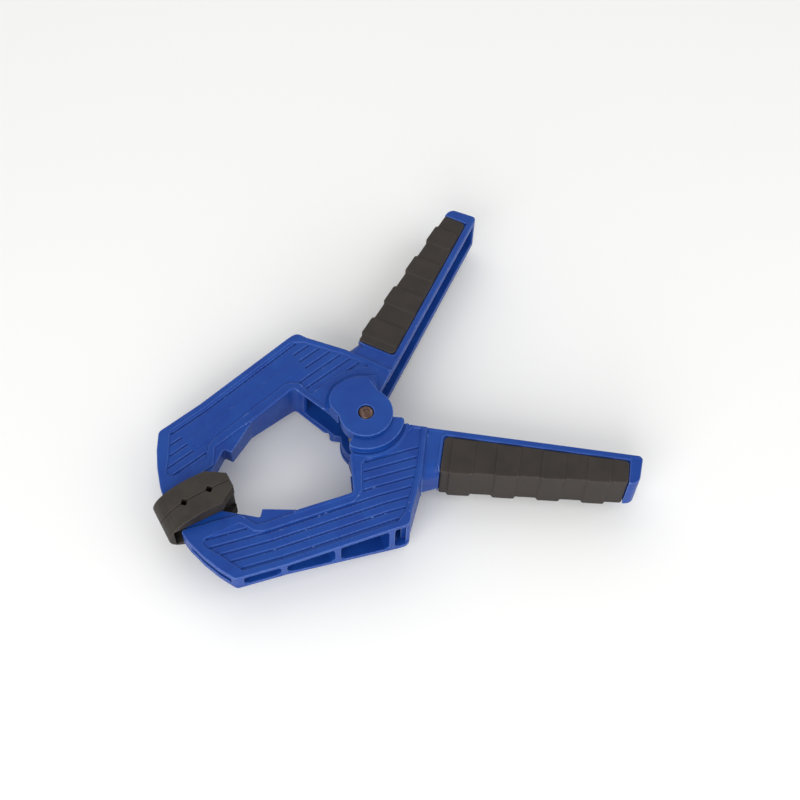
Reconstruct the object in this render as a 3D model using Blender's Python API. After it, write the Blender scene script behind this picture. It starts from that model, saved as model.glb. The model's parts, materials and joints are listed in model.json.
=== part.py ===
"""Spring clamp: two moulded arms on one pivot, sprung shut, with soft grips and swivelling jaw pads.

The clamp lies flat.  X runs from the jaws (-X) to the handles (+X), Z is the pivot's axis.
Every size is in millimetres from the pivot's axis and the middle of the clamp's thickness.
Both arms are one moulding: the left arm is drawn on the +Y side, and the right arm is the same
shape turned half a turn about X.  Each arm has a thin ear outside and a thick lug inside, so
that the left ear lies over the right lug on top, and the right ear under the left lug below.
"""
import math

import bmesh
import bpy
from mathutils import Matrix, Vector

MM = 0.001

# Where the pivot stands, so that the clamp is centred over the origin with its lowest face at zero
PIVOT_X = 0.95
HUB_HALF = 18.8

# Running and mating clearances
GAP = 0.3

# How far a cutter passes beyond the surface that it opens
PAST = 6.0

# Jaw: half thickness grows in a straight taper from the nose to the elbow
NOSE_HALF = 6.0
BODY_HALF = 12.4
TAPER_START = -67.0
TAPER_END = -14.0
SKIN = 2.3
TONGUE_HALF = 5.0
NOSE_SLOT_HALF = 2.2
NOSE_CORNER = (-91.4, 43.7)
ELBOW_CORNER = (-8.0, 59.8)
MOUTH_START = 4.0
MOUTH_END = 81.5
RIM_DEPTH = 3.0
RIB_STARTS = (21.9, 48.1, 74.8)
RIB_WIDTH = 2.9
RIB_DEPTH = 34.0

# Handle: a channel that opens towards the other handle
HANDLE_ANGLE = math.radians(36.5)
HANDLE_LENGTH = 135.6
HANDLE_HALF = 11.2
CORE_HALF = 9.9
CHANNEL_HALF = 7.7
CORE_WALL = 2.2
GRIP_START = 39.0
GRIP_END = 129.5
GRIP_EDGE = 3.2
GRIP_CORNER = 2.4
CORE_ROOT_DEPTH = 21.3
CORE_TIP_DEPTH = 13.6

# Grip: soft sleeve with four raised bands
GRIP_HALF = 11.3
BAND_HALF = 12.1
GRIP_SKIN = 1.5
BAND_RISE = 0.9
BAND_COUNT = 4
BAND_FIRST = 43.4
BAND_PITCH = 22.0
BAND_LENGTH = 11.4

# Hinge: each arm has an ear on one face and a lug, with a round shoulder outside it, on the other
EAR_RADIUS = 13.2
LUG_RADIUS = 12.6
LUG_FACE = 16.4
LUG_THICKNESS = 7.0
SHOULDER_RADIUS = 19.0
SHOULDER_FROM = math.radians(33)
SHOULDER_TO = math.radians(145)
SHOULDER_CORNER = 1.8
EAR_LEVELS = 4
EAR_SINK = 0.4
OPEN_ANGLE = math.radians(45)
SWEEP_MARGIN = math.radians(3)
COIL_ROOM_HALF = LUG_FACE - LUG_THICKNESS
SPRING_ROOM_HALF = 9.1

# Pivot pin, sleeve and torsion spring
PIN_RADIUS = 3.6
PIN_HALF = 18.5
PIN_HOLE_RADIUS = 3.9
SLEEVE_OUTER_RADIUS = 5.4
SLEEVE_INNER_RADIUS = 4.15
SLEEVE_HALF = 9.0
COIL_RADIUS = 7.7
WIRE_RADIUS = 1.25
COIL_HALF = 6.0
COIL_TURNS = 4
LEG_REACH = 42.0
LEG_DEPTH = 17.4

# Jaw pads: each swivels on a small pin through the arm's tongue
PAD_PIVOT = (-89.6, 6.4)
PAD_PIN_RADIUS = 1.6
PAD_PIN_HALF = 10.8
PAD_HALF = 14.4
PAD_DEPTH = 9.6
PAD_FLOOR = 2.8
PAD_SLOT_HALF = 6.4
PAD_NOSE_CENTRE = -86.4
PAD_NOSE_LENGTH = 23.6
PAD_END_WALL = 3.2
PAD_INNER_END = -72.8
PAD_CHAMFER_START = -81.6
PAD_CHAMFER_END_DEPTH = 4.0
NOTCHES = (-83.6, -96.6)
NOTCH_SIZE = 2.0
TONGUE_RADIUS = 3.0


def clear_scene():
    for old in list(bpy.data.objects):
        bpy.data.objects.remove(old, do_unlink=True)


def make_material(name, colour, roughness, metallic=0.0):
    material = bpy.data.materials.new(name)
    material.use_nodes = True
    shader = material.node_tree.nodes["Principled BSDF"]
    shader.inputs["Base Color"].default_value = (*colour, 1.0)
    shader.inputs["Roughness"].default_value = roughness
    shader.inputs["Metallic"].default_value = metallic
    return material


# ---------------------------------------------------------------- outlines

def handle_point(along, depth):
    """A point given by its distance along the handle and its depth from the handle's inner edge."""
    cosine, sine = math.cos(HANDLE_ANGLE), math.sin(HANDLE_ANGLE)
    return (along * cosine - depth * sine, along * sine + depth * cosine)


def jaw_edge_point(along, depth):
    """A point given by its distance along the jaw's outer edge and its depth into the jaw."""
    start, end = Vector(NOSE_CORNER), Vector(ELBOW_CORNER)
    direction = (end - start).normalized()
    inward = Vector((direction.y, -direction.x))
    return tuple(start + direction * along + inward * depth)


def arc(centre, radius, start, end, steps):
    angles = [start + (end - start) * i / steps for i in range(steps + 1)]
    return [(centre[0] + radius * math.cos(a), centre[1] + radius * math.sin(a)) for a in angles]


def circle(centre, radius, steps=48):
    return arc(centre, radius, 0, math.tau * (1 - 1 / steps), steps - 1)


def rounded(corners, steps=4):
    """Outline through corners given as (x, y) or (x, y, radius), with each radius as an arc."""
    outline = []
    count = len(corners)
    for i, corner in enumerate(corners):
        here = Vector(corner[:2])
        if len(corner) == 2:
            outline.append(tuple(here))
            continue
        before = (Vector(corners[i - 1][:2]) - here).normalized()
        after = (Vector(corners[(i + 1) % count][:2]) - here).normalized()
        half_turn = before.angle(after) / 2
        reach = corner[2] / math.tan(half_turn)
        centre = here + (before + after).normalized() * corner[2] / math.sin(half_turn)
        first = here + before * reach - centre
        last = here + after * reach - centre
        sweep = first.angle_signed(last)
        for step in range(steps + 1):
            spoke = first.copy()
            spoke.rotate(Matrix.Rotation(-sweep * step / steps, 2))
            outline.append(tuple(centre + spoke))
    return outline


def curved(points, steps=3):
    """Points on a smooth open curve through the given ones."""
    line = [Vector(point) for point in points]
    line = [2 * line[0] - line[1]] + line + [2 * line[-1] - line[-2]]
    curve = []
    for a, b, c, d in zip(line, line[1:], line[2:], line[3:]):
        for step in range(steps):
            t = step / steps
            bend = (c - a) * t + (2 * a - 5 * b + 4 * c - d) * t ** 2 + (3 * b - a - 3 * c + d) * t ** 3
            curve.append(tuple(b + bend / 2))
    return curve + [tuple(points[-1])]


# ---------------------------------------------------------------- solids

def jaw_half(x):
    share = (x - TAPER_START) / (TAPER_END - TAPER_START)
    return NOSE_HALF + (BODY_HALF - NOSE_HALF) * min(max(share, 0.0), 1.0)


def add_object(name, body):
    """Turn a bmesh into an object of the scene."""
    mesh = bpy.data.meshes.new(name)
    body.to_mesh(mesh)
    body.free()
    piece = bpy.data.objects.new(name, mesh)
    bpy.context.collection.objects.link(piece)
    return piece


def solid(name, outline, low, high):
    """Closed solid over an outline; low and high give Z at each X and bend only at the taper's ends."""
    sheet = bmesh.new()
    face = sheet.faces.new([sheet.verts.new((x, y, 0)) for x, y in outline])
    face.normal_update()
    if face.normal.z < 0:
        face.normal_flip()
    for bend in (TAPER_START, TAPER_END):
        everything = sheet.verts[:] + sheet.edges[:] + sheet.faces[:]
        bmesh.ops.bisect_plane(sheet, geom=everything, plane_co=(bend, 0, 0), plane_no=(1, 0, 0))
    bmesh.ops.triangulate(sheet, faces=sheet.faces[:])
    body = bmesh.new()
    upper = {v: body.verts.new((v.co.x * MM, v.co.y * MM, high(v.co.x) * MM)) for v in sheet.verts}
    lower = {v: body.verts.new((v.co.x * MM, v.co.y * MM, low(v.co.x) * MM)) for v in sheet.verts}
    for face in sheet.faces:
        body.faces.new([upper[v] for v in face.verts])
        body.faces.new([lower[v] for v in reversed(face.verts)])
    for edge in sheet.edges:
        if edge.is_boundary:
            loop = edge.link_loops[0]
            a, b = loop.vert, loop.link_loop_next.vert
            body.faces.new([lower[a], lower[b], upper[b], upper[a]])
    sheet.free()
    return add_object(name, body)


def slab(name, outline, low, high):
    return solid(name, outline, lambda x: low, lambda x: high)


def plate(name, outline, half):
    return slab(name, outline, -half, half)


def tapered_plate(name, outline, skin=0.0):
    return solid(name, outline, lambda x: skin - jaw_half(x), lambda x: jaw_half(x) - skin)


def cylinder(name, radius, half, centre=(0.0, 0.0), steps=48):
    return plate(name, circle(centre, radius, steps), half)


def close_rings(body, rings):
    """Walls between each ring of vertices and the next."""
    for ring, following in zip(rings, rings[1:]):
        for i in range(len(ring)):
            j = (i + 1) % len(ring)
            body.faces.new([ring[i], ring[j], following[j], following[i]])


def turned(name, profile):
    """Solid of revolution about Z: the profile runs once round the section as (radius, z) points."""
    body = bmesh.new()
    rings = []
    for radius, z in profile:
        rings.append([body.verts.new((x * MM, y * MM, z * MM)) for x, y in circle((0.0, 0.0), radius)])
    close_rings(body, rings + rings[:1])
    bmesh.ops.recalc_face_normals(body, faces=body.faces[:])
    return add_object(name, body)


def lofted(name, levels):
    """Closed solid through outlines with one point count, given as (outline, z) from bottom to top."""
    body = bmesh.new()
    rings = [[body.verts.new((x * MM, y * MM, z * MM)) for x, y in outline] for outline, z in levels]
    close_rings(body, rings)
    body.faces.new(list(reversed(rings[0])))
    body.faces.new(rings[-1])
    bmesh.ops.triangulate(body, faces=body.faces[:])
    bmesh.ops.recalc_face_normals(body, faces=body.faces[:])
    return add_object(name, body)


def combine(target, tool, operation):
    """Apply one exact Boolean to the target and remove the tool."""
    modifier = target.modifiers.new(operation.title(), 'BOOLEAN')
    modifier.object = tool
    modifier.operation = operation
    modifier.solver = 'EXACT'
    bpy.context.view_layer.update()
    depsgraph = bpy.context.evaluated_depsgraph_get()
    result = bpy.data.meshes.new_from_object(target.evaluated_get(depsgraph))
    target.modifiers.remove(modifier)
    before = target.data
    target.data = result
    bpy.data.meshes.remove(before)
    bpy.data.objects.remove(tool, do_unlink=True)


def cut(target, *tools):
    for tool in tools:
        combine(target, tool, 'DIFFERENCE')


def join(target, *tools):
    for tool in tools:
        combine(target, tool, 'UNION')


def turn_over(piece):
    """Turn a piece of the left side half a turn about X, for the right side."""
    piece.data.transform(Matrix.Rotation(math.pi, 4, 'X'))


def finish(piece, name, material, pivot, origin=(0.0, 0.0)):
    """Name a piece, colour it, and put its origin on the axis that it turns about."""
    piece.name = name
    piece.data.name = name
    piece.data.transform(Matrix.Translation((-origin[0] * MM, -origin[1] * MM, 0)))
    piece.data.materials.clear()
    piece.data.materials.append(material)
    piece.data.shade_smooth()
    piece.data.set_sharp_from_angle(angle=math.radians(35))
    piece.parent = pivot
    piece.location = (origin[0] * MM, origin[1] * MM, 0)
    return piece


# ---------------------------------------------------------------- arms

def jaw_outline():
    pivot_x, pivot_y = PAD_PIVOT
    tongue_front = arc(PAD_PIVOT, TONGUE_RADIUS, math.radians(-125), math.radians(-55), 5)
    throat = [
        (-76.8, 12.8), (-67.4, 20.5, 0.8), (-64.7, 17.0, 0.5), (-49.6, 26.4, 4.0), (-22.6, 32.2, 3.5),
        (-14.8, 13.2), (-13.2, 8.5), (0.0, 0.0),
    ]
    rear = [(24.2, 18.2), (9.5, 39.3), (-4.8, 54.8, 3.0), (*ELBOW_CORNER, 4.0)]
    nose = [(*NOSE_CORNER, 3.0), (-96.2, 35.0), (-99.9, 26.0), (-102.8, 16.0), (-103.6, 10.4, 1.2)]
    return rounded(tongue_front + throat + rear + nose)


def front_cavity():
    """The jaw's hollow, open along the outer edge and crossed by ribs."""
    wall = [(-98.6, 18.5), (-77.5, 18.5), (-67.9, 24.6), (-62.0, 22.6), (-50.4, 29.4), (-24.0, 35.0)]
    rear = [(-14.0, 36.2), (6.2, 36.2), (-9.2, 52.6), jaw_edge_point(MOUTH_END, RIM_DEPTH)]
    mouth = [jaw_edge_point(MOUTH_END, -PAST), jaw_edge_point(MOUTH_START, -PAST),
             jaw_edge_point(MOUTH_START, RIM_DEPTH)]
    nose = [(-92.2, 34.0), (-96.8, 23.5)]
    hollow = tapered_plate("front_cavity", wall + rear + mouth + nose, SKIN)
    for start in RIB_STARTS:
        end = start + RIB_WIDTH
        corners = [jaw_edge_point(start, -2 * PAST), jaw_edge_point(start, RIB_DEPTH),
                   jaw_edge_point(end, RIB_DEPTH), jaw_edge_point(end, -2 * PAST)]
        cut(hollow, plate("rib", corners, 2 * HUB_HALF))
    return hollow


def nose_slot():
    outline = [(-88.6, 39.6), (-96.0, 18.8), (-107.0, 16.5), (-99.0, 43.6)]
    return plate("nose_slot", outline, NOSE_SLOT_HALF)


def spring_room():
    """Hollow between the elbow and the hinge, open to the throat."""
    outline = [(-27.0, 27.5), (-18.8, 27.5), (-14.0, 33.2), (8.6, 33.2), (20.0, 16.0), (20.0, 5.0),
               (0.0, -4.0), (-12.0, 2.0), (-27.0, 8.0)]
    return plate("spring_room", outline, SPRING_ROOM_HALF)


def tongue_steps():
    """The tongue under the pad is thinner than the jaw."""
    step_line = [(-73.0, 15.6), (-84.6, 12.8), (-94.2, 11.2), (-102.4, 9.6), (-107.0, 9.0)]
    outline = [(-107.0, 0.0), (-73.0, 0.0)] + step_line
    above = slab("tongue_top", outline, TONGUE_HALF, 2 * NOSE_HALF)
    below = slab("tongue_bottom", outline, -2 * NOSE_HALF, -TONGUE_HALF)
    return above, below


def core_depth(along):
    share = (along - GRIP_START) / (GRIP_END - GRIP_START)
    return CORE_ROOT_DEPTH + (CORE_TIP_DEPTH - CORE_ROOT_DEPTH) * share


def handle_core(name, half, margin):
    """The part of the handle that the grip covers, grown by a margin."""
    start, end = GRIP_START - 1, GRIP_END + 1
    outline = [handle_point(start, -PAST), handle_point(end, -PAST),
               handle_point(end, core_depth(end) + margin), handle_point(start, core_depth(start) + margin)]
    return plate(name, outline, half + margin)


def handle_solid():
    """The handle's outside, with a shallow bed for the grip and a bead along its inner edge."""
    tip = [(*handle_point(HANDLE_LENGTH, 0), 2.0), (*handle_point(HANDLE_LENGTH - 1.0, 14.8), 4.0)]
    outer = [handle_point(GRIP_END + 0.5, 15.6), handle_point(GRIP_START - 0.5, 23.4)]
    root = [handle_point(32.0, 26.4), handle_point(22.0, 24.0), handle_point(12.0, 8.0),
            handle_point(12.0, 0.0)]
    handle = plate("handle", rounded(tip + outer + root), HANDLE_HALF)
    bed_outline = [handle_point(GRIP_START, GRIP_EDGE), handle_point(GRIP_END, GRIP_EDGE),
                   handle_point(GRIP_END, 40), handle_point(GRIP_START, 40)]
    bed = plate("grip_bed", bed_outline, 2 * HANDLE_HALF)
    cut(bed, handle_core("bed_core", CORE_HALF, 0.0))
    cut(handle, bed)
    return handle


def handle_channel():
    end = HANDLE_LENGTH - 3.6
    outline = [handle_point(11.0, -PAST), handle_point(end, -PAST),
               handle_point(end, core_depth(end) - CORE_WALL),
               handle_point(GRIP_START, CORE_ROOT_DEPTH - CORE_WALL), handle_point(14.0, 20.0)]
    return plate("channel", outline, CHANNEL_HALF)


def arm_blank():
    """What both arms share, before the hinge is cut."""
    arm = tapered_plate("arm", jaw_outline())
    join(arm, handle_solid())
    cut(arm, front_cavity(), nose_slot(), *tongue_steps())
    cut(arm, cylinder("pad_pin_hole", PAD_PIN_RADIUS + GAP, BODY_HALF, PAD_PIVOT, 16))
    return arm


def sector(name, radius, start, end, low, high, corner=0.0):
    """A slice of a disc about the pivot, with its two outer corners rounded."""
    steps = max(4, round(math.degrees(end - start) / 8))
    rim = arc((0, 0), radius, start, end, steps)
    if corner:
        rim = [(*rim[0], corner)] + rim[1:-1] + [(*rim[-1], corner)]
    return slab(name, rounded([(0.0, 0.0)] + rim), low, high)


def make_ear():
    """The ear: round about the pin, and falling in a soft slope to the arm's face beside it."""
    below = arc((0, 0), EAR_RADIUS, math.radians(160), math.radians(395), 32)
    crown = below + curved([(9.6, 17.4), (4.5, 19.6), (-1.0, 20.4), (-7.6, 18.9), (-12.0, 15.2),
                            (-13.8, 11.0)])
    foot = below + curved([(18.2, 18.6), (9.0, 24.4), (1.0, 25.6), (-8.0, 23.4), (-14.4, 16.0),
                           (-14.0, 11.0)])
    base = BODY_HALF - EAR_SINK
    levels = [(foot, 2.0)]
    for level in range(EAR_LEVELS + 1):
        share = level / EAR_LEVELS
        rise = (share + share ** 2 * (3 - 2 * share)) / 2
        outline = [tuple(Vector(low).lerp(Vector(high), share)) for low, high in zip(foot, crown)]
        levels.append((outline, base + (HUB_HALF - base) * rise))
    return lofted("ear", levels)


def make_arm():
    """The left arm: jaw, handle, the ear on its upper face and the lug on its lower face."""
    arm = arm_blank()
    lug = slab("lug", circle((0.0, 0.0), LUG_RADIUS), -LUG_FACE, 0.0)
    shoulder = sector("shoulder", SHOULDER_RADIUS, SHOULDER_FROM, SHOULDER_TO,
                      -LUG_FACE, -COIL_ROOM_HALF - 1, SHOULDER_CORNER)
    join(arm, make_ear(), lug, shoulder)
    other_lug = slab("other_lug", circle((0.0, 0.0), EAR_RADIUS + GAP), COIL_ROOM_HALF - GAP,
                     LUG_FACE + GAP)
    swept = sector("swept", SHOULDER_RADIUS + GAP, -SHOULDER_TO - SWEEP_MARGIN,
                   OPEN_ANGLE - SHOULDER_FROM + SWEEP_MARGIN, COIL_ROOM_HALF - 2 * GAP, LUG_FACE + GAP)
    join(other_lug, swept)
    coil_room = cylinder("coil_room", EAR_RADIUS + 2 * GAP, COIL_ROOM_HALF)
    cut(arm, other_lug, coil_room, spring_room(), handle_channel())
    cut(arm, cylinder("pin_hole", PIN_HOLE_RADIUS, 2 * HUB_HALF))
    return arm


# ---------------------------------------------------------------- grips and pads

def grip_block(name, start, end, edge, skin, half, corner):
    outline = [(*handle_point(start, edge), corner), (*handle_point(end, edge), corner),
               (*handle_point(end, core_depth(end) + GAP + skin), 1.0),
               (*handle_point(start, core_depth(start) + GAP + skin), 1.0)]
    return plate(name, rounded(outline, 3), half)


def make_grip():
    edge = GRIP_EDGE + GAP
    grip = grip_block("grip", GRIP_START + GAP, GRIP_END - GAP, edge, GRIP_SKIN, GRIP_HALF, GRIP_CORNER)
    for index in range(BAND_COUNT):
        start = BAND_FIRST + index * BAND_PITCH
        end = start + BAND_LENGTH
        band = grip_block("band", start, end, edge + BAND_RISE, GRIP_SKIN + BAND_RISE, BAND_HALF, BAND_RISE)
        join(grip, band)
    cut(grip, handle_core("grip_core", CORE_HALF, GAP))
    return grip


def pad_side_outline():
    """The pad seen along Y, as (x, z): half an ellipse at the nose and square at the throat."""
    steps = 20
    nose = []
    for i in range(steps + 1):
        angle = math.radians(90) + math.pi * i / steps
        nose.append((PAD_NOSE_CENTRE + PAD_NOSE_LENGTH * math.cos(angle), PAD_HALF * math.sin(angle)))
    return nose + [(PAD_INNER_END, -PAD_HALF), (PAD_INNER_END, PAD_HALF)]


def upright(name, outline, near, far):
    """Solid over an outline in (x, z), running along Y."""
    piece = slab(name, [(x, -z) for x, z in outline], near, far)
    piece.data.transform(Matrix.Rotation(math.radians(-90), 4, 'X'))
    return piece


def make_pad():
    pad = upright("pad", pad_side_outline(), GAP / 2, PAD_DEPTH)
    chamfer = [(PAD_CHAMFER_START, PAD_DEPTH), (PAD_CHAMFER_START, PAD_DEPTH + PAST),
               (PAD_INNER_END + PAST, PAD_DEPTH + PAST), (PAD_INNER_END + PAST, PAD_CHAMFER_END_DEPTH),
               (PAD_INNER_END, PAD_CHAMFER_END_DEPTH)]
    cut(pad, plate("chamfer", chamfer, 2 * PAD_HALF))
    slot_end = PAD_NOSE_CENTRE - PAD_NOSE_LENGTH + PAD_END_WALL
    slot = [(slot_end, PAD_DEPTH + PAST), (slot_end, PAD_FLOOR, 2.0), (PAD_INNER_END + PAST, PAD_FLOOR),
            (PAD_INNER_END + PAST, PAD_DEPTH + PAST)]
    cut(pad, plate("tongue_slot", rounded(slot), PAD_SLOT_HALF))
    for x in NOTCHES:
        corners = [(x - NOTCH_SIZE, 0), (x, -NOTCH_SIZE), (x + NOTCH_SIZE, 0), (x, NOTCH_SIZE)]
        cut(pad, plate("notch", corners, 2 * PAD_HALF))
    cut(pad, cylinder("pin_seat", PAD_PIN_RADIUS + GAP, PAD_PIN_HALF + GAP, PAD_PIVOT, 16))
    return pad


# ---------------------------------------------------------------- pins and spring

def make_pad_pin():
    return cylinder("pad_pin", PAD_PIN_RADIUS, PAD_PIN_HALF, PAD_PIVOT, 16)


def make_pivot_pin():
    return cylinder("pin", PIN_RADIUS, PIN_HALF)


def make_sleeve():
    profile = [(SLEEVE_OUTER_RADIUS, -SLEEVE_HALF), (SLEEVE_OUTER_RADIUS, SLEEVE_HALF),
               (SLEEVE_INNER_RADIUS, SLEEVE_HALF), (SLEEVE_INNER_RADIUS, -SLEEVE_HALF)]
    return turned("sleeve", profile)


def spring_path():
    """The wire's middle line: the right arm's leg, the coil, and the left arm's leg."""
    foot = Vector((LEG_REACH, LEG_DEPTH))
    leaving = HANDLE_ANGLE + math.atan2(foot.y, foot.x) + math.acos(COIL_RADIUS / foot.length)
    sweep = math.tau * (COIL_TURNS + 1) - 2 * leaving
    steps = round(24 * sweep / math.tau)
    coil = []
    for i in range(steps + 1):
        share = i / steps
        angle = -leaving - sweep * share
        height = COIL_HALF * (2 * share - 1)
        coil.append((COIL_RADIUS * math.cos(angle), COIL_RADIUS * math.sin(angle), height))
    end_x, end_y = handle_point(LEG_REACH, LEG_DEPTH)
    return [(end_x, -end_y, -COIL_HALF)] + coil + [(end_x, end_y, COIL_HALF)]


def make_spring():
    curve = bpy.data.curves.new("spring", 'CURVE')
    curve.dimensions = '3D'
    curve.bevel_depth = WIRE_RADIUS * MM
    curve.bevel_resolution = 2
    curve.use_fill_caps = True
    path = spring_path()
    spline = curve.splines.new('POLY')
    spline.points.add(len(path) - 1)
    for point, (x, y, z) in zip(spline.points, path):
        point.co = (x * MM, y * MM, z * MM, 1)
    guide = bpy.data.objects.new("spring_guide", curve)
    bpy.context.collection.objects.link(guide)
    bpy.context.view_layer.update()
    depsgraph = bpy.context.evaluated_depsgraph_get()
    mesh = bpy.data.meshes.new_from_object(guide.evaluated_get(depsgraph))
    bpy.data.objects.remove(guide, do_unlink=True)
    spring = bpy.data.objects.new("spring", mesh)
    bpy.context.collection.objects.link(spring)
    return spring


def build():
    clear_scene()
    pivot = bpy.data.objects.new("pivot_axis", None)
    pivot.location = (PIVOT_X * MM, 0, HUB_HALF * MM)
    bpy.context.collection.objects.link(pivot)

    blue = make_material("glass_filled_nylon", (0.012, 0.055, 0.38), 0.38)
    rubber = make_material("grip_rubber", (0.045, 0.04, 0.035), 0.75)
    pad_rubber = make_material("pad_rubber", (0.05, 0.045, 0.04), 0.7)
    pin_steel = make_material("pin_steel", (0.28, 0.2, 0.15), 0.4, 1.0)
    spring_steel = make_material("spring_steel", (0.35, 0.34, 0.33), 0.35, 1.0)
    sleeve_nylon = make_material("sleeve_nylon", (0.6, 0.58, 0.54), 0.5)

    for side, sign in (("left", 1), ("right", -1)):
        pieces = {"arm": (make_arm(), blue, (0.0, 0.0)),
                  "grip": (make_grip(), rubber, (0.0, 0.0)),
                  "pad": (make_pad(), pad_rubber, PAD_PIVOT),
                  "pad_pin": (make_pad_pin(), spring_steel, PAD_PIVOT)}
        for part, (piece, material, origin) in pieces.items():
            if sign < 0:
                turn_over(piece)
            finish(piece, f"{side}_{part}", material, pivot, (origin[0], sign * origin[1]))
    finish(make_pivot_pin(), "pivot_pin", pin_steel, pivot)
    finish(make_sleeve(), "spring_sleeve", sleeve_nylon, pivot)
    finish(make_spring(), "torsion_spring", spring_steel, pivot)


build()
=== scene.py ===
# %% [markdown]
# # A spring clamp, from its working solids to a finished model
#
# The clamp is a hand tool for holding glued work.  Two moulded arms turn on one steel pin, a
# torsion spring shuts them, and soft grips and swivelling pads go where hands and work touch.
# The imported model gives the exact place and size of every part.  This lesson gives each part
# the edges, lines and surface of the real one, and never moves it.

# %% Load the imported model
import json
import math

import bmesh
import bpy
from mathutils import Matrix, Vector


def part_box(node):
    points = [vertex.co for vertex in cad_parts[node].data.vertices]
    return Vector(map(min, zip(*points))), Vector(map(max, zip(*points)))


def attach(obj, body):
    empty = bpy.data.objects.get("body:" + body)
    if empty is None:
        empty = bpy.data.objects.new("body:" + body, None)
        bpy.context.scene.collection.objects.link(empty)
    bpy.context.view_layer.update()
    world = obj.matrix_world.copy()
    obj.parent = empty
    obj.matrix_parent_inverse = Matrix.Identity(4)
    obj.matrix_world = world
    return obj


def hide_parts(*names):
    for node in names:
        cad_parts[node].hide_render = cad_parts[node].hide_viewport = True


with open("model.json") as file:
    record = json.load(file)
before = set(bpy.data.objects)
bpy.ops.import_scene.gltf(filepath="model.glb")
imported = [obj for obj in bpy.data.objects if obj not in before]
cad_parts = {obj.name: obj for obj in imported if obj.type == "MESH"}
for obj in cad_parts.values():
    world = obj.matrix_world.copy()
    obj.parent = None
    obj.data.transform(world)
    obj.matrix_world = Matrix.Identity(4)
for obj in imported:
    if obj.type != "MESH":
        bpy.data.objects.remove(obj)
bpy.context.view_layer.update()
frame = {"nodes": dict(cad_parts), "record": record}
print("nodes:", sorted(frame["nodes"]))

# %% [markdown]
# ## Where things are
#
# Sizes are written in millimetres from the pivot, as on a maker's drawing.  The pivot's place
# is read from the model's own joint, so that the drawing lands exactly on the working solids.

# %% The pivot and the drawing's units
MM = 0.001
joints = {joint["name"]: joint for joint in frame["record"]["behaviour"]["joints"]}
pivot = Vector(joints["main_pivot"]["pos_m"])
to_world = Matrix.Translation(pivot) @ Matrix.Scale(MM, 4)
turn_over = Matrix.Translation(pivot) @ Matrix.Rotation(math.pi, 4, "X") @ Matrix.Translation(-pivot)
print("pivot at", [round(value / MM, 2) for value in pivot], "mm")

# %% [markdown]
# ## Light and camera
#
# A product shot on a pale table: one large soft light from the front left, weak lights on the
# right and behind, and a grey room that keeps the reflections on the top faces dark.  The pale
# floor lights the upright sides from below, which is why they look paler than the tops.
# The lens is long, and the camera looks down at 60 degrees.

# %% Camera
VIEW_AZIMUTH = math.radians(-30.76)
VIEW_ELEVATION = math.radians(60.5)
VIEW_ROLL = math.radians(2.57)
VIEW_DISTANCE = 707.98
VIEW_CENTRE = (23.09, 7.2, 0.0)
LENS = 63.59


def direction(azimuth, elevation):
    """The way towards a viewer who stands at this azimuth, with -Y in front, and elevation."""
    level = math.cos(elevation)
    return Vector((math.sin(azimuth) * level, -math.cos(azimuth) * level, math.sin(elevation)))


def make_camera():
    back = direction(VIEW_AZIMUTH, VIEW_ELEVATION)
    right = Vector((0, 0, 1)).cross(back).normalized()
    up = back.cross(right)
    turned_right = right * math.cos(VIEW_ROLL) + up * math.sin(VIEW_ROLL)
    turned_up = up * math.cos(VIEW_ROLL) - right * math.sin(VIEW_ROLL)
    camera = bpy.data.objects.new("camera", bpy.data.cameras.new("camera"))
    camera.data.lens = LENS
    camera.matrix_world = Matrix((turned_right, turned_up, back)).transposed().to_4x4()
    camera.location = to_world @ (Vector(VIEW_CENTRE) + back * VIEW_DISTANCE)
    bpy.context.collection.objects.link(camera)
    bpy.context.scene.camera = camera


make_camera()
print("camera at", [round(value, 3) for value in bpy.context.scene.camera.location], "m")

# %% Soft lights and the room
LIGHT_DISTANCE = 1.2
# name: azimuth and elevation in degrees, brightness on a white card that faces it, size in metres
LIGHTS = {
    "key_light": (-46, 29, 0.80, 1.1),
    "fill_light": (48, 34, 0.26, 1.1),
    "back_light": (165, 48, 0.20, 1.3),
}
ROOM_BRIGHTNESS = 0.52


def make_light(name, azimuth, elevation, brightness, size):
    lamp = bpy.data.lights.new(name, "AREA")
    lamp.size = size
    lamp.energy = brightness * math.pi ** 2 * LIGHT_DISTANCE ** 2
    light = bpy.data.objects.new(name, lamp)
    back = direction(math.radians(azimuth), math.radians(elevation))
    light.location = pivot + back * LIGHT_DISTANCE
    light.rotation_euler = back.to_track_quat("Z", "Y").to_euler()
    bpy.context.collection.objects.link(light)


for name, values in LIGHTS.items():
    make_light(name, *values)

room = bpy.data.worlds.new("room")
room.use_nodes = True
room.node_tree.nodes["Background"].inputs["Color"].default_value = (1, 1, 1, 1)
room.node_tree.nodes["Background"].inputs["Strength"].default_value = ROOM_BRIGHTNESS
bpy.context.scene.world = room
bpy.context.scene.view_settings.view_transform = "Standard"
print("lights:", ", ".join(LIGHTS))

# %% [markdown]
# ## Materials
#
# Every finish is a node material, so it has no image and follows the part when it moves.
# The patterns read object coordinates, which are metres in the clamp's own frame: a pattern
# with features of one millimetre has a scale of one over 0.001.

# %% Colour and node helpers
def linear(hex_colour):
    """A colour picker's sRGB hex value as the linear colour that Blender works in."""
    colour = []
    for start in (1, 3, 5):
        value = int(hex_colour[start:start + 2], 16) / 255
        colour.append(value / 12.92 if value <= 0.04045 else ((value + 0.055) / 1.055) ** 2.4)
    return (*colour, 1.0)


def new_material(name, **constants):
    """A material whose shader has these constants, given as in roughness=0.5."""
    material = bpy.data.materials.new(name)
    material.use_nodes = True
    shader = material.node_tree.nodes["Principled BSDF"]
    for socket, value in constants.items():
        shader.inputs[socket.replace("_", " ").title().replace("Ior", "IOR")].default_value = value
    return material, shader


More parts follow.
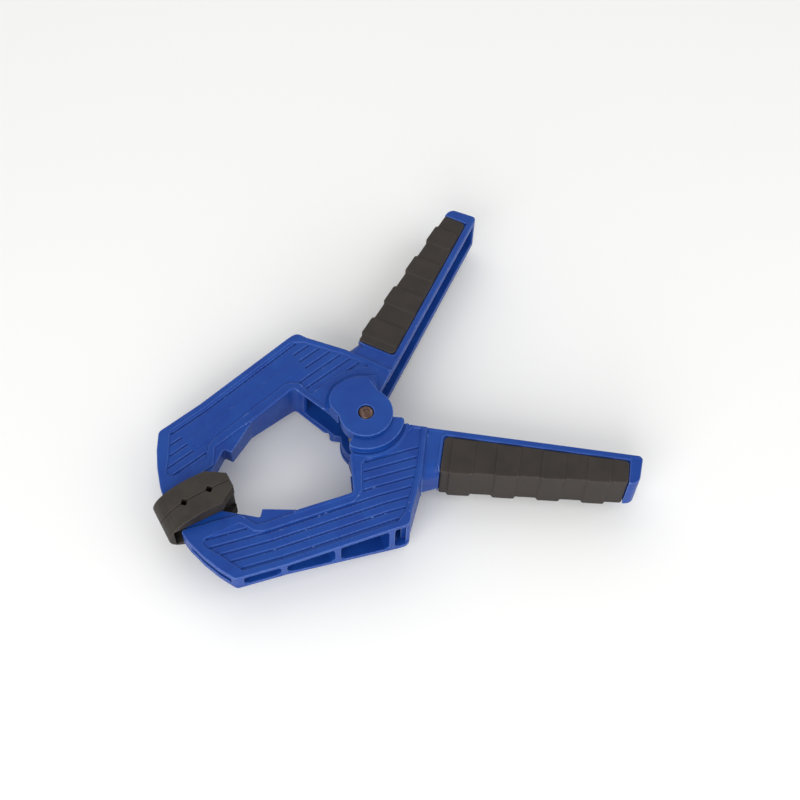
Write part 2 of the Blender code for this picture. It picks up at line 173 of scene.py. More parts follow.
def add(material, kind, inputs, **settings):
    """Add a node, set it up, and fill its inputs with values or with other nodes' outputs."""
    node = material.node_tree.nodes.new("ShaderNode" + kind)
    for name, value in settings.items():
        setattr(node, name, value)
    for name, value in inputs.items():
        if isinstance(value, bpy.types.NodeSocket):
            material.node_tree.links.new(value, node.inputs[name])
        else:
            node.inputs[name].default_value = value
    return node.outputs


def per_metre(size):
    """Pattern scale for features of this size in millimetres."""
    return 1 / (size * MM)


def turning(material, surface, reach):
    """1 where the surface turns within this many millimetres, and 0 where it is flat."""
    eased = add(material, "Bevel", {"Radius": reach * MM}, samples=6)[0]
    agreement = add(material, "VectorMath", {0: eased, 1: surface["Normal"]}, operation="DOT_PRODUCT")[1]
    return add(material, "MapRange", {"Value": agreement, "From Min": 0.999, "From Max": 0.985})[0]


print("royal blue in linear light:", [round(value, 3) for value in linear("#164596")])

# %% [markdown]
# ### Glass-filled nylon
#
# The arms are injection-moulded nylon with short glass fibres, coloured royal blue in the mass.
# The mould is spark-eroded, so the skin is satin with a fine grain.  The fibres flow with the
# melt and leave faint cloudy streaks.  The proud edges are lightened as a painted highlight, and
# the moulded lines and other hollows are darkened as painted shade.  Pointiness, the mesh's own
# sharpness at each point, tells proud from hollow, but it spreads over the large triangles of a
# flat face.  So it counts only where a Bevel node, which looks a short way round each point, finds
# that the surface turns.
# Real grain is about 0.05 mm, too fine to show, so it is drawn at 0.6 mm and kept shallow.

# %% The arms' nylon
NYLON_GRAIN = 0.6
NYLON_FLOW = 16.0
NYLON_SCUFF_AND_SHEEN = 2.5
NYLON_EDGE = 0.9


def glass_filled_nylon():
    nylon, shader = new_material("glass_filled_nylon", ior=1.53, specular_ior_level=0.22)
    place = add(nylon, "TexCoord", {})["Object"]
    flow = add(nylon, "TexNoise", {"Vector": place, "Scale": per_metre(NYLON_FLOW), "Detail": 5.0,
                                   "Distortion": 0.6})[0]
    grain = add(nylon, "TexNoise", {"Vector": place, "Scale": per_metre(NYLON_GRAIN), "Detail": 3.0})[0]
    scuff_and_sheen = add(nylon, "TexNoise", {"Vector": place, "Scale": per_metre(NYLON_SCUFF_AND_SHEEN), "Detail": 6.0})[0]
    surface = add(nylon, "NewGeometry", {})
    edge = surface["Pointiness"]
    crease = turning(nylon, surface, NYLON_EDGE)

    cloud = add(nylon, "MapRange", {"Value": flow, "From Min": 0.35, "From Max": 0.65})[0]
    body = add(nylon, "Mix", {0: cloud, 6: linear("#113b8d"), 7: linear("#164596")}, data_type="RGBA")[2]
    fleck = add(nylon, "MapRange", {"Value": grain, "From Min": 0.62, "From Max": 0.78, "To Max": 0.3})[0]
    flecked = add(nylon, "Mix", {0: fleck, 6: body, 7: linear("#2f5fb0")}, data_type="RGBA")[2]
    # Painted shade: concave points where the surface turns, such as the moulded lines, are darkened to deep
    # blue.
    hollow = add(nylon, "MapRange", {"Value": edge, "From Min": 0.492, "From Max": 0.45, "To Max": 0.85})[0]
    hollow_shade = add(nylon, "Math", {0: hollow, 1: crease}, operation="MULTIPLY")[0]
    shaded_colour = add(nylon, "Mix", {0: hollow_shade, 6: flecked, 7: linear("#08205a")}, data_type="RGBA")[2]
    # Painted highlight: convex edges where the surface turns are lightened to pale blue, in uneven patches.
    proud = add(nylon, "MapRange", {"Value": edge, "From Min": 0.506, "From Max": 0.56})[0]
    highlight_patches = add(nylon, "MapRange", {"Value": scuff_and_sheen, "From Min": 0.3, "From Max": 0.6, "To Min": 0.45,
                                     "To Max": 0.85})[0]
    highlit_edge = add(nylon, "Math", {0: proud, 1: crease}, operation="MULTIPLY")[0]
    edge_highlight = add(nylon, "Math", {0: highlit_edge, 1: highlight_patches}, operation="MULTIPLY")[0]
    colour = add(nylon, "Mix", {0: edge_highlight, 6: shaded_colour, 7: linear("#7f9cdc")}, data_type="RGBA")[2]
    satin = add(nylon, "MapRange", {"Value": scuff_and_sheen, "From Min": 0.3, "From Max": 0.7, "To Min": 0.36,
                                    "To Max": 0.48})[0]
    relief = add(nylon, "Bump", {"Strength": 0.55, "Distance": 0.03 * MM, "Height": grain})[0]
    nylon.node_tree.links.new(colour, shader.inputs["Base Color"])
    nylon.node_tree.links.new(satin, shader.inputs["Roughness"])
    nylon.node_tree.links.new(relief, shader.inputs["Normal"])
    return nylon


arm_nylon = glass_filled_nylon()
print(arm_nylon.name, "has", len(arm_nylon.node_tree.nodes), "nodes")

# %% [markdown]
# ### Soft elastomer and firm rubber
#
# The grips are a thermoplastic elastomer moulded over the handles, and the pads a firmer rubber.
# Both are a dark brownish grey and almost matte, with a fine leathery grain.  The proud edges are
# lightened as a painted highlight, broken up by the grain.  One recipe serves both, with its own numbers.

# %% The two rubbers
RUBBER_EDGE = 0.9
RUBBER_PATCH = 9.0
GLOSS_SPREAD = 0.08


def moulded_rubber(name, dark, light, highlight_colour, grain_size, matte, relief_depth):
    rubber, shader = new_material(name, ior=1.5, specular_ior_level=0.3)
    place = add(rubber, "TexCoord", {})["Object"]
    grain = add(rubber, "TexNoise", {"Vector": place, "Scale": per_metre(grain_size), "Detail": 4.0,
                                     "Roughness": 0.6})[0]
    patch = add(rubber, "TexNoise", {"Vector": place, "Scale": per_metre(RUBBER_PATCH), "Detail": 5.0})[0]
    surface = add(rubber, "NewGeometry", {})
    crease = turning(rubber, surface, RUBBER_EDGE)
    cloud = add(rubber, "MapRange", {"Value": patch, "From Min": 0.35, "From Max": 0.65})[0]
    body = add(rubber, "Mix", {0: cloud, 6: linear(dark), 7: linear(light)}, data_type="RGBA")[2]
    # Painted highlight: convex edges where the surface turns are lightened towards the third colour, broken
    # up by the grain.
    proud = add(rubber, "MapRange", {"Value": surface["Pointiness"], "From Min": 0.506, "From Max": 0.56})[0]
    rim = add(rubber, "Math", {0: proud, 1: crease}, operation="MULTIPLY")[0]
    grain_breakup = add(rubber, "MapRange", {"Value": grain, "From Min": 0.35, "From Max": 0.65, "To Max": 0.7})[0]
    rubber_highlight = add(rubber, "Math", {0: rim, 1: grain_breakup}, operation="MULTIPLY")[0]
    colour = add(rubber, "Mix", {0: rubber_highlight, 6: body, 7: linear(highlight_colour)}, data_type="RGBA")[2]
    gloss = add(rubber, "MapRange", {"Value": patch, "From Min": 0.3, "From Max": 0.7,
                                     "To Min": matte - GLOSS_SPREAD, "To Max": matte + GLOSS_SPREAD})[0]
    relief = add(rubber, "Bump", {"Strength": 0.7, "Distance": relief_depth * MM, "Height": grain})[0]
    rubber.node_tree.links.new(colour, shader.inputs["Base Color"])
    rubber.node_tree.links.new(gloss, shader.inputs["Roughness"])
    rubber.node_tree.links.new(relief, shader.inputs["Normal"])
    return rubber


# The third colour of each rubber is its painted edge highlight.
grip_elastomer = moulded_rubber("soft_elastomer", "#2f2a27", "#38322e", "#7a7068", 0.7, 0.66, 0.06)
pad_rubber = moulded_rubber("firm_rubber", "#2f2a26", "#38332e", "#615850", 0.5, 0.58, 0.04)
print("rubbers:", grip_elastomer.name, pad_rubber.name)

# %% [markdown]
# ### Steel: turned, browned and drawn
#
# The pin is cut from bar, so its end has fine rings from the lathe tool, and its heat-browned
# skin has worn to bright metal in places.  The spring and the pad pins are drawn wire, smooth
# and slightly oily.  Both are metals, so they keep the default IOR.

# %% The steels
TOOL_MARK = 0.35
STAIN_SIZE = 1.6
WIRE_STREAK = 0.8
WIRE_FILM = 5.0
WAVE_TURNS_PER_UNIT = 20 / math.tau


def browned_steel():
    steel, shader = new_material("browned_turned_steel", metallic=1.0)
    place = add(steel, "TexCoord", {})["Object"]
    about_pin = add(steel, "VectorMath", {0: place, 1: pivot}, operation="SUBTRACT")[0]
    rings = add(steel, "TexWave", {"Vector": about_pin, "Scale": per_metre(TOOL_MARK) / WAVE_TURNS_PER_UNIT,
                                   "Distortion": 1.2}, wave_type="RINGS", rings_direction="Z")[1]
    stain = add(steel, "TexNoise", {"Vector": place, "Scale": per_metre(STAIN_SIZE), "Detail": 6.0})[0]
    bright = add(steel, "MapRange", {"Value": stain, "From Min": 0.45, "From Max": 0.65})[0]
    colour = add(steel, "Mix", {0: bright, 6: linear("#5e4841"), 7: linear("#8a766d")}, data_type="RGBA")[2]
    rough = add(steel, "MapRange", {"Value": stain, "From Min": 0.3, "From Max": 0.7, "To Min": 0.38,
                                    "To Max": 0.58})[0]
    relief = add(steel, "Bump", {"Strength": 0.5, "Distance": 0.02 * MM, "Height": rings})[0]
    steel.node_tree.links.new(colour, shader.inputs["Base Color"])
    steel.node_tree.links.new(rough, shader.inputs["Roughness"])
    steel.node_tree.links.new(relief, shader.inputs["Normal"])
    return steel


def drawn_wire():
    wire, shader = new_material("drawn_spring_wire", metallic=1.0)
    place = add(wire, "TexCoord", {})["Object"]
    streak = add(wire, "TexNoise", {"Vector": place, "Scale": per_metre(WIRE_STREAK), "Detail": 5.0})[0]
    film = add(wire, "TexNoise", {"Vector": place, "Scale": per_metre(WIRE_FILM), "Detail": 3.0})[0]
    tint = add(wire, "MapRange", {"Value": film, "From Min": 0.35, "From Max": 0.65})[0]
    colour = add(wire, "Mix", {0: tint, 6: linear("#8d8984"), 7: linear("#a9a49c")}, data_type="RGBA")[2]
    rough = add(wire, "MapRange", {"Value": streak, "From Min": 0.3, "From Max": 0.7, "To Min": 0.26,
                                   "To Max": 0.42})[0]
    relief = add(wire, "Bump", {"Strength": 0.3, "Distance": 0.01 * MM, "Height": streak})[0]
    wire.node_tree.links.new(colour, shader.inputs["Base Color"])
    wire.node_tree.links.new(rough, shader.inputs["Roughness"])
    wire.node_tree.links.new(relief, shader.inputs["Normal"])
    return wire


pin_steel = browned_steel()
spring_wire = drawn_wire()
print("steels:", pin_steel.name, spring_wire.name)

# %% [markdown]
# ### Natural nylon and the table
#
# The spring's coil sits on a sleeve of unpigmented nylon, cream and waxy, with light passing a
# little way in.  The table is a pale matte laminate, plain enough to leave the clamp alone.

# %% Sleeve and table
SLEEVE_CLOUD = 3.0
TABLE_HALF = 1.6


def natural_nylon():
    nylon, shader = new_material("natural_nylon", ior=1.53, subsurface_weight=0.15, subsurface_scale=0.001)
    place = add(nylon, "TexCoord", {})["Object"]
    cloud = add(nylon, "TexNoise", {"Vector": place, "Scale": per_metre(SLEEVE_CLOUD), "Detail": 4.0})[0]
    colour = add(nylon, "Mix", {0: cloud, 6: linear("#cdc6b6"), 7: linear("#e0dacb")}, data_type="RGBA")[2]
    rough = add(nylon, "MapRange", {"Value": cloud, "From Min": 0.3, "From Max": 0.7, "To Min": 0.42,
                                    "To Max": 0.55})[0]
    nylon.node_tree.links.new(colour, shader.inputs["Base Color"])
    nylon.node_tree.links.new(rough, shader.inputs["Roughness"])
    return nylon


sleeve_nylon = natural_nylon()
table_laminate = new_material("pale_laminate", roughness=0.7, base_color=linear("#fbfbfa"))[0]
table_mesh = bpy.data.meshes.new("table")
corners = [(-TABLE_HALF, -TABLE_HALF, 0), (TABLE_HALF, -TABLE_HALF, 0), (TABLE_HALF, TABLE_HALF, 0),
           (-TABLE_HALF, TABLE_HALF, 0)]
table_mesh.from_pydata(corners, [], [(0, 1, 2, 3)])
table_mesh.materials.append(table_laminate)
table = bpy.data.objects.new("table", table_mesh)
bpy.context.collection.objects.link(table)
print("table is", 2 * TABLE_HALF, "m square")

# %% [markdown]
# ## Outlines
#
# The jaw is drawn from its straight outer edge, and the handle from its inner edge, because the
# moulded lines run parallel to those.  Each gets its own pair of measures: how far along, how deep.

# %% The jaw's and the handle's own measures
NOSE_CORNER = Vector((-91.4, 43.7))
ELBOW_CORNER = Vector((-8.0, 59.8))
EDGE_DIRECTION = (ELBOW_CORNER - NOSE_CORNER).normalized()
EDGE_INWARD = Vector((EDGE_DIRECTION.y, -EDGE_DIRECTION.x))
HANDLE_ANGLE = math.radians(36.5)


def jaw_point(along, depth):
    return tuple(NOSE_CORNER + EDGE_DIRECTION * along + EDGE_INWARD * depth)


def jaw_measures(point):
    reach = Vector(point) - NOSE_CORNER
    return reach.dot(EDGE_DIRECTION), reach.dot(EDGE_INWARD)


def handle_point(along, depth):
    cosine, sine = math.cos(HANDLE_ANGLE), math.sin(HANDLE_ANGLE)
    return (along * cosine - depth * sine, along * sine + depth * cosine)


print("outer edge is", round((ELBOW_CORNER - NOSE_CORNER).length, 1), "mm long")

# %% Arcs, rounded corners and ribbons
def arc(radius, start, end, steps=12):
    """Points about the pivot from one angle to another, in degrees."""
    angles = [math.radians(start + (end - start) * step / steps) for step in range(steps + 1)]
    return [(radius * math.cos(angle), radius * math.sin(angle)) for angle in angles]


def rounded(corners, steps=5):
    """Outline through corners given as (x, y) or (x, y, radius), with each radius as an arc."""
    outline = []
    for index, corner in enumerate(corners):
        here = Vector(corner[:2])
        if len(corner) == 2:
            outline.append(tuple(here))
            continue
        before = (Vector(corners[index - 1][:2]) - here).normalized()
        after = (Vector(corners[(index + 1) % len(corners)][:2]) - here).normalized()
        half_turn = before.angle(after) / 2
        reach = corner[2] / math.tan(half_turn)
        centre = here + (before + after).normalized() * corner[2] / math.sin(half_turn)
        first = here + before * reach - centre
        sweep = first.angle_signed(here + after * reach - centre)
        for step in range(steps + 1):
            spoke = first.copy()
            spoke.rotate(Matrix.Rotation(-sweep * step / steps, 2))
            outline.append(tuple(centre + spoke))
    return outline


def ribbon(points, width):
    """Outline of a line with a width: along one side and back along the other."""
    line = [Vector(point) for point in points]
    legs = [(after - before).normalized() for before, after in zip(line, line[1:])]
    left, right = [], []
    for here, before, after in zip(line, legs[:1] + legs, legs + legs[-1:]):
        middle = (before + after).normalized()
        across = Vector((-middle.y, middle.x)) * width / 2 / max(0.5, middle.dot(after))
        left.append(tuple(here + across))
        right.append(tuple(here - across))
    return left + right[::-1]


print("a quarter turn of 10 mm radius has", len(arc(10, 0, 90)), "points")

# %% [markdown]
# ## Mesh tools
#
# A moulding's lines are shallow walls and channels that follow a face.  Each is a prism over an
# outline, and on the jaw its ends follow the face's taper.  Channels are cut with one exact
# Boolean, and walls are simply laid in: the voxel remesh that follows welds everything that
# overlaps into one skin.  A few smoothing passes then turn every edge into the small radius that
# a moulding has, which bevels could not do at so many crossing edges.

# %% Prisms
NOSE_HALF = 6.0
BODY_HALF = 12.4
TAPER = (-67.0, -14.0)
HANDLE_HALF = 11.2


def jaw_half(x):
    """Half the jaw's thickness at this distance from the pivot."""
    share = (x - TAPER[0]) / (TAPER[1] - TAPER[0])
    return NOSE_HALF + (BODY_HALF - NOSE_HALF) * min(max(share, 0.0), 1.0)


def new_piece(name, body):
    mesh = bpy.data.meshes.new(name)
    body.to_mesh(mesh)
    body.free()
    piece = bpy.data.objects.new(name, mesh)
    bpy.context.collection.objects.link(piece)
    return piece


def prism(outline, low, high):
    """Closed solid over an outline, in drawing millimetres; low and high give Z at each X."""
    sheet = bmesh.new()
    face = sheet.faces.new([sheet.verts.new((x, y, 0)) for x, y in outline])
    face.normal_update()
    if face.normal.z < 0:
        face.normal_flip()
    for bend in TAPER:
        everything = sheet.verts[:] + sheet.edges[:] + sheet.faces[:]
        bmesh.ops.bisect_plane(sheet, geom=everything, plane_co=(bend, 0, 0), plane_no=(1, 0, 0))
    bmesh.ops.triangulate(sheet, faces=sheet.faces[:])
    body = bmesh.new()
    upper = {v: body.verts.new((v.co.x, v.co.y, high(v.co.x))) for v in sheet.verts}
    lower = {v: body.verts.new((v.co.x, v.co.y, low(v.co.x))) for v in sheet.verts}
    for face in sheet.faces:
        body.faces.new([upper[v] for v in face.verts])
        body.faces.new([lower[v] for v in reversed(face.verts)])
    for edge in sheet.edges:
        if edge.is_boundary:
            loop = edge.link_loops[0]
            a, b = loop.vert, loop.link_loop_next.vert
            body.faces.new([lower[a], lower[b], upper[b], upper[a]])
    sheet.free()
    body.transform(to_world)
    return new_piece("prism", body)


def slab(outline, low, high):
    return prism(outline, lambda x: low, lambda x: high)


def on_face(outline, side, inner, outer):
    """Prism on the jaw's upper (1) or lower (-1) face, from inner to outer height above that face."""
    if side > 0:
        return prism(outline, lambda x: jaw_half(x) + inner, lambda x: jaw_half(x) + outer)
    return prism(outline, lambda x: -jaw_half(x) - outer, lambda x: -jaw_half(x) - inner)


print("jaw is", 2 * jaw_half(-90), "mm thick at the nose and", 2 * jaw_half(0), "mm at the hinge")

# %% Cutting, laying in, and remoulding
def apply_modifiers(piece):
    bpy.context.view_layer.update()
    evaluated = piece.evaluated_get(bpy.context.evaluated_depsgraph_get())
    result = bpy.data.meshes.new_from_object(evaluated)
    piece.modifiers.clear()
    before = piece.data
    piece.data = result
    bpy.data.meshes.remove(before)


def carve(piece, cutters):
    """Cut all the cutters out of a piece with one exact Boolean, and remove them."""
    tools = bpy.data.collections.new("tools")
    bpy.context.scene.collection.children.link(tools)
    for cutter in cutters:
        tools.objects.link(cutter)
    boolean = piece.modifiers.new("carve", "BOOLEAN")
    boolean.operand_type = "COLLECTION"
    boolean.collection = tools
    boolean.operation = "DIFFERENCE"
    boolean.solver = "EXACT"
    apply_modifiers(piece)
    for cutter in cutters:
        bpy.data.objects.remove(cutter, do_unlink=True)
    bpy.data.collections.remove(tools)


def lay_in(piece, additions):
    """Add closed shells to a piece's mesh; the remesh welds them to it."""
    body = bmesh.new()
    body.from_mesh(piece.data)
    for addition in additions:
        body.from_mesh(addition.data)
        bpy.data.objects.remove(addition, do_unlink=True)
    body.to_mesh(piece.data)
    body.free()


def remould(piece, voxel, passes, triangles, shape=None):
    """Rebuild a piece on a fine grid, soften it, and thin out the flat stretches.

    The shape function, if given, moves vertices while the mesh is still dense everywhere.
    """
    remesh = piece.modifiers.new("remesh", "REMESH")
    remesh.mode = "VOXEL"
    remesh.voxel_size = voxel * 1 * MM
    smooth = piece.modifiers.new("smooth", "SMOOTH")
    smooth.factor = 0.5
    smooth.iterations = passes
    apply_modifiers(piece)
    if shape:
        shape(piece)
    dense = 2 * len(piece.data.polygons)
    thin = piece.modifiers.new("thin", "DECIMATE")
    thin.ratio = min(1.0, triangles / dense)
    apply_modifiers(piece)
    piece.data.shade_smooth()
    print(piece.name, "went from", dense, "to", len(piece.data.polygons), "triangles")


def copy_of(node, name):
    """A new object with a working solid's exact mesh, ready for detail."""
    mesh = frame["nodes"][node].data.copy()
    mesh.materials.clear()
    piece = bpy.data.objects.new(name, mesh)
    bpy.context.collection.objects.link(piece)
    return piece


def turned_over(piece, name):
    """The same moulding for the clamp's other side: a copy turned half a turn about X."""
    other = bpy.data.objects.new(name, piece.data.copy())
    other.data.transform(turn_over)
    bpy.context.collection.objects.link(other)
    return other


def fit(piece, material, body, slot, *nodes):
    """Give a finished piece its material, the body it rides on and the solids it stands for."""
    piece.data.materials.clear()
    piece.data.materials.append(material)
    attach(piece, body)
    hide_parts(*nodes)


def even_out(piece):
    """Let large faces decide the shading, so that flat stretches look flat up to their edges."""
    weighted = piece.modifiers.new("flat_faces", "WEIGHTED_NORMAL")
    weighted.mode = "FACE_AREA"
    weighted.weight = 90


# %% [markdown]
# ## The arms
#
# Both arms come out of one mould.  One face carries the thin ear, the other the thick lug with a
# round shoulder, and the right arm is the left one turned over.  So one mesh is detailed and used
# twice.  Each jaw face has a sunk field with moulded lines along it, parallel to the outer edge.
# On the lug's face the lines run the whole length.  On the ear's face a smooth panel for a label
# interrupts them, and it stays blank here.

# %% The sunk fields' outlines
FIELD_SINK = 0.7
SHOULDER_CLEAR = 21.6
FIELD_REAR = [(7.2, 37.7), (-6.9, 52.9, 2.5)]


def field_outline(around_hinge):
    """A field's border: along the throat, round the hinge, up the rear edge and back to the nose."""
    throat = [(-97.6, 18.4, 2.5), (-77.0, 18.8, 2.0), (-73.2, 25.6, 2.0), (-69.2, 28.0, 2.0),
              (-51.8, 31.4), (-25.2, 36.6, 3.0), (-19.6, 33.2, 2.5)]
    outer = [(*jaw_point(79.5, 3.0), 2.0), (*jaw_point(4.5, 3.2), 2.0)]
    nose = [(-89.8, 34.8), (-92.6, 29.0), (-96.4, 23.0)]
    return rounded(throat + around_hinge + FIELD_REAR + outer + nose)


lug_field = field_outline([(-13.6, 21.4, 1.5)] + arc(SHOULDER_CLEAR, 118, 47)
                          + [(17.8, 15.4, 1.2), (21.2, 17.6, 1.2)])
ear_field = field_outline([(-17.2, 24.8, 1.0), (-9.4, 26.8), (1.0, 28.6), (10.0, 27.4), (16.6, 24.2, 0.8)])
print("field borders have", len(lug_field), "and", len(ear_field), "points")

# %% Lines inside a field
LINE_FIRST = 4.65
LINE_PITCH = 4.75
LINE_COUNT = 8
LINE_WIDTH = 0.9
LINE_DEPTH = 0.8
LINE_STOP = 0.7
PANEL_START, PANEL_END = 7.4, 76.0
PANEL_TOP, PANEL_BOTTOM = 7.0, 19.6


def chords(outline, depth):
    """Where the line at this depth from the outer edge runs inside an outline."""
    crossings = []
    for one, other in zip(outline, outline[1:] + outline[:1]):
        along_one, depth_one = jaw_measures(one)
        along_other, depth_other = jaw_measures(other)
        if (depth_one - depth) * (depth_other - depth) < 0:
            share = (depth - depth_one) / (depth_other - depth_one)
            crossings.append(along_one + (along_other - along_one) * share)
    crossings.sort()
    return list(zip(crossings[::2], crossings[1::2]))


def line_groove(side, depth, start, end):
    line = [jaw_point(start, depth), jaw_point(end, depth)]
    return on_face(ribbon(line, LINE_WIDTH), side, -FIELD_SINK - LINE_DEPTH, 1.0)


def field_lines(side, outline):
    grooves = []
    for index in range(LINE_COUNT):
        depth = LINE_FIRST + index * LINE_PITCH
        for start, end in chords(outline, depth):
            stretches = [(start + LINE_STOP, end - LINE_STOP)]
            if side > 0 and PANEL_TOP < depth < PANEL_BOTTOM:
                stretches = [(start + LINE_STOP, PANEL_START), (PANEL_END, end - LINE_STOP)]
            for begin, finish in stretches:
                if finish - begin > 3 * LINE_WIDTH:
                    grooves.append(line_groove(side, depth, begin, finish))
    return grooves


print("lines are", LINE_PITCH, "mm apart")

# %% [markdown]
# The rest of the relief: a ledge round the throat's tooth, a low bead along the throat and the
# rear edge, a bead round the shoulder, and lips on the handle that frame the grip.  Thin cross
# ribs stiffen the handle's channel, set back from its mouth.

# %% Ledges, beads and ribs
LEDGE_DEPTH = 0.8
BEAD_WIDTH = 1.4
BEAD_HEIGHT = 0.4
SHOULDER_BEAD_RADIUS, SHOULDER_BEAD_WIDTH = 20.3, 1.2
EDGE_LIP_WIDTH, FRAME_LIP_WIDTH = 1.4, 1.0
LIP_ROOT = 0.8
GRIP_START, GRIP_END = 39.0, 129.5
CHANNEL_RIBS = (58.0, 76.0, 94.0, 112.0)
CHANNEL_RIB_HALF = 0.9
CHANNEL_RIB_FRONT, CHANNEL_RIB_BACK = 4.0, 13.5
CHANNEL_HALF = 8.2


def ledges():
    tooth = rounded([(-75.4, 14.8), (-70.6, 23.4, 1.5), (-64.8, 24.6, 1.5), (-50.2, 27.1), (-49.0, 20.0),
                     (-64.7, 10.0), (-75.4, 8.0)])
    return [on_face(tooth, side, -LEDGE_DEPTH, 2.0) for side in (1, -1)]


def beads():
    throat = rounded([(-52.6, 26.9), (-49.8, 27.5, 3.0), (-23.2, 33.1, 2.5), (-15.4, 14.0)])
    rear = [(22.6, 18.4), (8.6, 38.5), (-5.4, 53.8)]
    lines = [on_face(ribbon(points, BEAD_WIDTH), side, -FIELD_SINK, BEAD_HEIGHT)
             for side in (1, -1) for points in (throat, rear)]
    shoulder = ribbon(arc(SHOULDER_BEAD_RADIUS, 36, 138, 24), SHOULDER_BEAD_WIDTH)
    lines.append(on_face(shoulder, -1, -FIELD_SINK, BEAD_HEIGHT))
    return lines


def handle_lips():
    edge = [handle_point(30.0, 0.9), handle_point(134.0, 0.9)]
    frame_line = rounded([handle_point(GRIP_START - 1.0, 22.0), (*handle_point(GRIP_START - 1.0, 2.2), 3.0),
                          handle_point(GRIP_END + 0.6, 2.2)])
    lips = []
    for low, high in ((HANDLE_HALF - LIP_ROOT, HANDLE_HALF + BEAD_HEIGHT),
                      (-HANDLE_HALF - BEAD_HEIGHT, LIP_ROOT - HANDLE_HALF)):
        lips.append(slab(ribbon(edge, EDGE_LIP_WIDTH), low, high))
        lips.append(slab(ribbon(frame_line, FRAME_LIP_WIDTH), low, high))
    return lips


def channel_ribs():
    ribs = []
    for along in CHANNEL_RIBS:
        start, end = along - CHANNEL_RIB_HALF, along + CHANNEL_RIB_HALF
        outline = [handle_point(start, CHANNEL_RIB_FRONT), handle_point(end, CHANNEL_RIB_FRONT),
                   handle_point(end, CHANNEL_RIB_BACK), handle_point(start, CHANNEL_RIB_BACK)]
        ribs.append(slab(outline, -CHANNEL_HALF, CHANNEL_HALF))
    return ribs


# %% [markdown]
# Three more shapes of the mould.  The windows along the outer edge have rounded corners, built up
# from thin steps that the remesh melts together.  The last window runs round the elbow.  And the
# handle's root rolls over to its side in one large radius: there the dense mesh's own vertices
# are pulled in to a circle, which gives a truer curve than a cutter made of facets.

# %% Window corners and the handle's root
SKIN = 2.3
MOUTH_START = 4.0
RIB_STARTS = (21.9, 48.1, 74.8)
RIB_WIDTH = 2.9
WINDOW_STEPS = ((1.8, 0.35), (1.1, 0.7), (0.7, 1.1), (0.35, 1.8))
ROOT_RADIUS = 6.0
ROOT_START, ROOT_END = (32.0, 26.4), (38.5, 23.4)
ROOT_PAST = 0.6
REAR_FOOT, REAR_TOP = Vector((24.2, 18.2)), Vector((9.5, 39.3))
REAR_CLEAR = 0.4


def window_corners():
    walls = [(MOUTH_START, 1)]
    for start in RIB_STARTS:
        walls += [(start, -1), (start + RIB_WIDTH, 1)]
    steps = []
    for along, way in walls:
        for reach, drop in WINDOW_STEPS:
            outline = [jaw_point(along - way * 0.5, 0.3), jaw_point(along + way * reach, 0.3),
                       jaw_point(along + way * reach, 10.0), jaw_point(along - way * 0.5, 10.0)]
            steps += [on_face(outline, side, -SKIN - drop, 0.5 - SKIN) for side in (1, -1)]
    return steps


def elbow_window():
    outline = [jaw_point(79.5, -3.0), jaw_point(90.0, -3.0), jaw_point(90.0, 1.6), jaw_point(83.5, 1.6),
               jaw_point(84.4, 4.4), jaw_point(79.5, 4.4)]
    return slab(outline, SKIN - BODY_HALF, BODY_HALF - SKIN)


def roll_over_root(arm):
    start, end = Vector(handle_point(*ROOT_START)), Vector(handle_point(*ROOT_END))
    edge = (end - start).normalized()
    outward = Vector((-edge.y, edge.x))
    rear = (REAR_TOP - REAR_FOOT).normalized()
    behind = Vector((rear.y, -rear.x))
    to_drawing = to_world.inverted()
    core = HANDLE_HALF - ROOT_RADIUS
    moved = 0
    for vertex in arm.data.vertices:
        place = to_drawing @ vertex.co
        flat = Vector((place.x, place.y))
        across = (flat - start).dot(outward) + ROOT_RADIUS
        lift = abs(place.z) - core
        past_end = (flat - end).dot(edge) > ROOT_PAST
        if across < 0 or lift < 0 or past_end or (flat - REAR_FOOT).dot(behind) < REAR_CLEAR:
            continue
        spread = math.hypot(across, lift)
        if spread > ROOT_RADIUS:
            pull = ROOT_RADIUS / spread
            flat += outward * across * (pull - 1)
            height = math.copysign(core + lift * pull, place.z)
            vertex.co = to_world @ Vector((flat.x, flat.y, height))
            moved += 1
    print("rolled over", moved, "vertices at the handle's root")


# %% One arm, used twice
ARM_VOXEL = 0.28
ARM_PASSES = 5
ARM_TRIANGLES = 190_000

left_arm = copy_of("left_arm", "left_arm_moulding")
cuts = [on_face(ear_field, 1, -FIELD_SINK, 1.0), on_face(lug_field, -1, -FIELD_SINK, 1.0)]
panel = [jaw_point(PANEL_START + 1.5, 11.9), jaw_point(PANEL_END - 1.5, 11.9),
         jaw_point(PANEL_END - 2.0, 18.9), jaw_point(PANEL_START + 1.5, 18.9)]
cuts += field_lines(1, ear_field) + field_lines(-1, lug_field) + ledges() + [elbow_window()]
carve(left_arm, cuts)
walls = [on_face(panel, 1, -1.2, 0.25 - FIELD_SINK)] + beads() + handle_lips() + channel_ribs()
lay_in(left_arm, walls + window_corners())
remould(left_arm, ARM_VOXEL, ARM_PASSES, ARM_TRIANGLES, roll_over_root)
right_arm = turned_over(left_arm, "right_arm_moulding")
for side, arm in (("left", left_arm), ("right", right_arm)):
    fit(arm, arm_nylon, f"{side}_side", "arm_plastic", f"{side}_arm")
    even_out(arm)

# %% [markdown]
# ## The grips
#
# Each grip is a soft sleeve with four raised bands, moulded over the handle.  The solids have the
# bands with square edges.  A remesh and more smoothing passes than on the arms give the fuller
# radius that soft elastomer has.

# %% Two grips
GRIP_VOXEL = 0.36
GRIP_PASSES = 7
GRIP_TRIANGLES = 60_000

